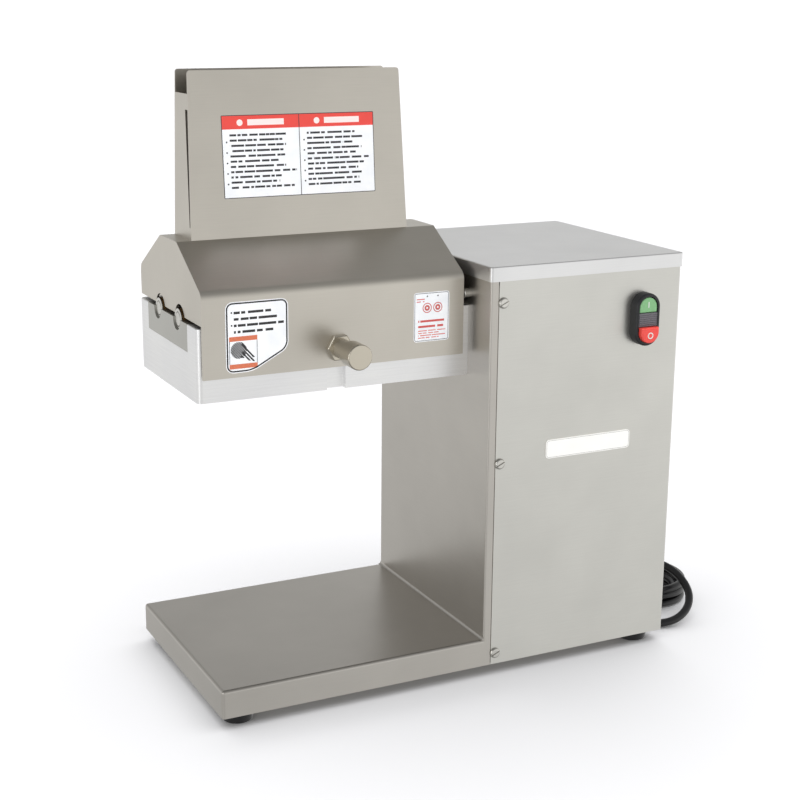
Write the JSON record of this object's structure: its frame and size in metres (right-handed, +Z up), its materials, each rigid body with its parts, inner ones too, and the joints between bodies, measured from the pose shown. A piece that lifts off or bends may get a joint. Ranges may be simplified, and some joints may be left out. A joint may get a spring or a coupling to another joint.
{
  "type": "electric meat tenderizer",
  "caption": "Countertop motor-driven roller meat tenderizer with hinged guard, feed chute, pull latch and pushbutton cabinet on a low platform.",
  "frame": {"origin": "under the middle of the machine, on the surface it stands on, cord left out", "axes": "+X along the rollers towards the motor cabinet, +Y from the operator to the back, +Z up"},
  "size_m": [0.6339, 0.2694, 0.6287],
  "materials": {
    "stainless_sheet": "satin stainless sheet, brushed",
    "stainless_cover": "satin stainless sheet, brushed",
    "stainless_lid": "satin stainless sheet, brushed",
    "stainless_guard": "satin stainless sheet, brushed",
    "machined_aluminium": "machined and brushed",
    "brushed_plate": "ground",
    "bright_steel": "turned bright",
    "turned_steel": "turned, satin",
    "blade_steel": "stamped and ground",
    "zinc_steel": "zinc plated",
    "badge": "satin",
    "black_plastic": "moulded",
    "green_plastic": "moulded, satin",
    "red_plastic": "moulded",
    "clear_lens": "ribbed, smoky",
    "bronze": "sintered bronze",
    "painted_casting": "grey enamel",
    "cast_iron": "as cast, turned rim",
    "belt_rubber": "matt",
    "black_rubber": "matt"
  },
  "bodies": {
    "frame": {"base_frame": "stainless_sheet", "bottom_plate": "stainless_sheet", "foot_front_left": "black_rubber", "foot_front_right": "black_rubber", "foot_rear_left": "black_rubber", "foot_rear_right": "black_rubber", "foot_screws": "zinc_steel", "side_cover": "stainless_cover", "top_lid": "stainless_lid", "cover_screws": "bright_steel", "badge_plate": "badge", "switch_bezel": "black_plastic", "switch_lens": "clear_lens", "contact_blocks": "black_plastic", "head_housing": "machined_aluminium", "head_bolts": "zinc_steel", "cradle_left_plate": "brushed_plate", "cradle_right_plate": "brushed_plate", "roller_bushings": "bronze", "cradle_tie_rods": "bright_steel", "comb_front": "brushed_plate", "comb_rear": "brushed_plate", "gearbox_housing": "painted_casting", "v_belt": "belt_rubber", "motor_frame": "painted_casting", "motor_end_bells": "painted_casting", "motor_base": "painted_casting", "hinge_lugs": "stainless_guard", "hinge_pins": "bright_steel", "guard_sensor": "bright_steel", "cord_gland": "black_rubber", "cord_lead": "black_rubber", "cord_coil": "black_rubber", "power_plug": "black_rubber"},
    "front_roller": {"front_roller_shaft": "bright_steel", "front_roller_knives": "blade_steel", "front_roller_spacers": "bright_steel", "front_retaining_ring": "bright_steel", "front_roller_gear": "bright_steel"},
    "rear_roller": {"rear_roller_shaft": "bright_steel", "rear_roller_knives": "blade_steel", "rear_roller_spacers": "bright_steel", "rear_retaining_ring": "bright_steel", "rear_roller_gear": "bright_steel"},
    "gearbox_output": {"output_shaft": "bright_steel"},
    "gearbox_input": {"input_shaft": "bright_steel", "driven_pulley": "cast_iron"},
    "motor_spindle": {"motor_rotor": "bright_steel", "motor_pulley": "cast_iron", "motor_fan": "black_plastic"},
    "start": {"start_button": "green_plastic"},
    "stop": {"stop_button": "red_plastic"},
    "guard": {"guard_shell": "stainless_guard", "guard_end_plates": "stainless_guard", "chute_front_plate": "stainless_guard", "chute_back_channel": "stainless_guard", "guard_hinge_leaves": "stainless_guard", "latch_flange": "turned_steel"},
    "latch": {"latch_plunger": "turned_steel", "latch_spring": "bright_steel"}
  },
  "joints": [
    {"name": "front_roller_spin", "type": "hinge", "parent": "frame", "child": "front_roller", "pos_m": [-0.1098, -0.01375, 0.393], "axis": [1, 0, 0], "continuous": true},
    {"name": "rear_roller_spin", "type": "hinge", "parent": "frame", "child": "rear_roller", "pos_m": [-0.1098, 0.04625, 0.393], "axis": [1, 0, 0], "continuous": true},
    {"name": "gearbox_output_spin", "type": "hinge", "parent": "frame", "child": "gearbox_output", "pos_m": [0.0602, -0.01375, 0.393], "axis": [1, 0, 0], "continuous": true},
    {"name": "gearbox_input_spin", "type": "hinge", "parent": "frame", "child": "gearbox_input", "pos_m": [0.0602, -0.01375, 0.345], "axis": [1, 0, 0], "continuous": true},
    {"name": "motor_spin", "type": "hinge", "parent": "frame", "child": "motor_spindle", "pos_m": [0.1502, 0.00725, 0.11], "axis": [1, 0, 0], "continuous": true},
    {"name": "start_press", "type": "slide", "parent": "frame", "child": "start", "axis": [0, 1, 0], "range_m": [0, 0.003], "stiffness_N_per_m": 400, "springref_m": -0.002},
    {"name": "stop_press", "type": "slide", "parent": "frame", "child": "stop", "axis": [0, 1, 0], "range_m": [0, 0.003], "stiffness_N_per_m": 400, "springref_m": -0.002},
    {"name": "guard_lift", "type": "hinge", "parent": "frame", "child": "guard", "pos_m": [-0.1098, 0.11885, 0.391], "axis": [-1, 0, 0], "range_deg": [0, 100]},
    {"name": "latch_pull", "type": "slide", "parent": "guard", "child": "latch", "axis": [0, -1, 0], "range_m": [0, 0.008], "stiffness_N_per_m": 700, "springref_m": -0.004, "deforming": ["latch_spring"]}
  ],
  "couplings": [
    {"joint": "rear_roller_spin", "follows": "front_roller_spin", "ratio": -1},
    {"joint": "gearbox_output_spin", "follows": "front_roller_spin", "ratio": 1},
    {"joint": "gearbox_input_spin", "follows": "front_roller_spin", "ratio": -2.4286},
    {"joint": "motor_spin", "follows": "front_roller_spin", "ratio": -8.0952}
  ]
}
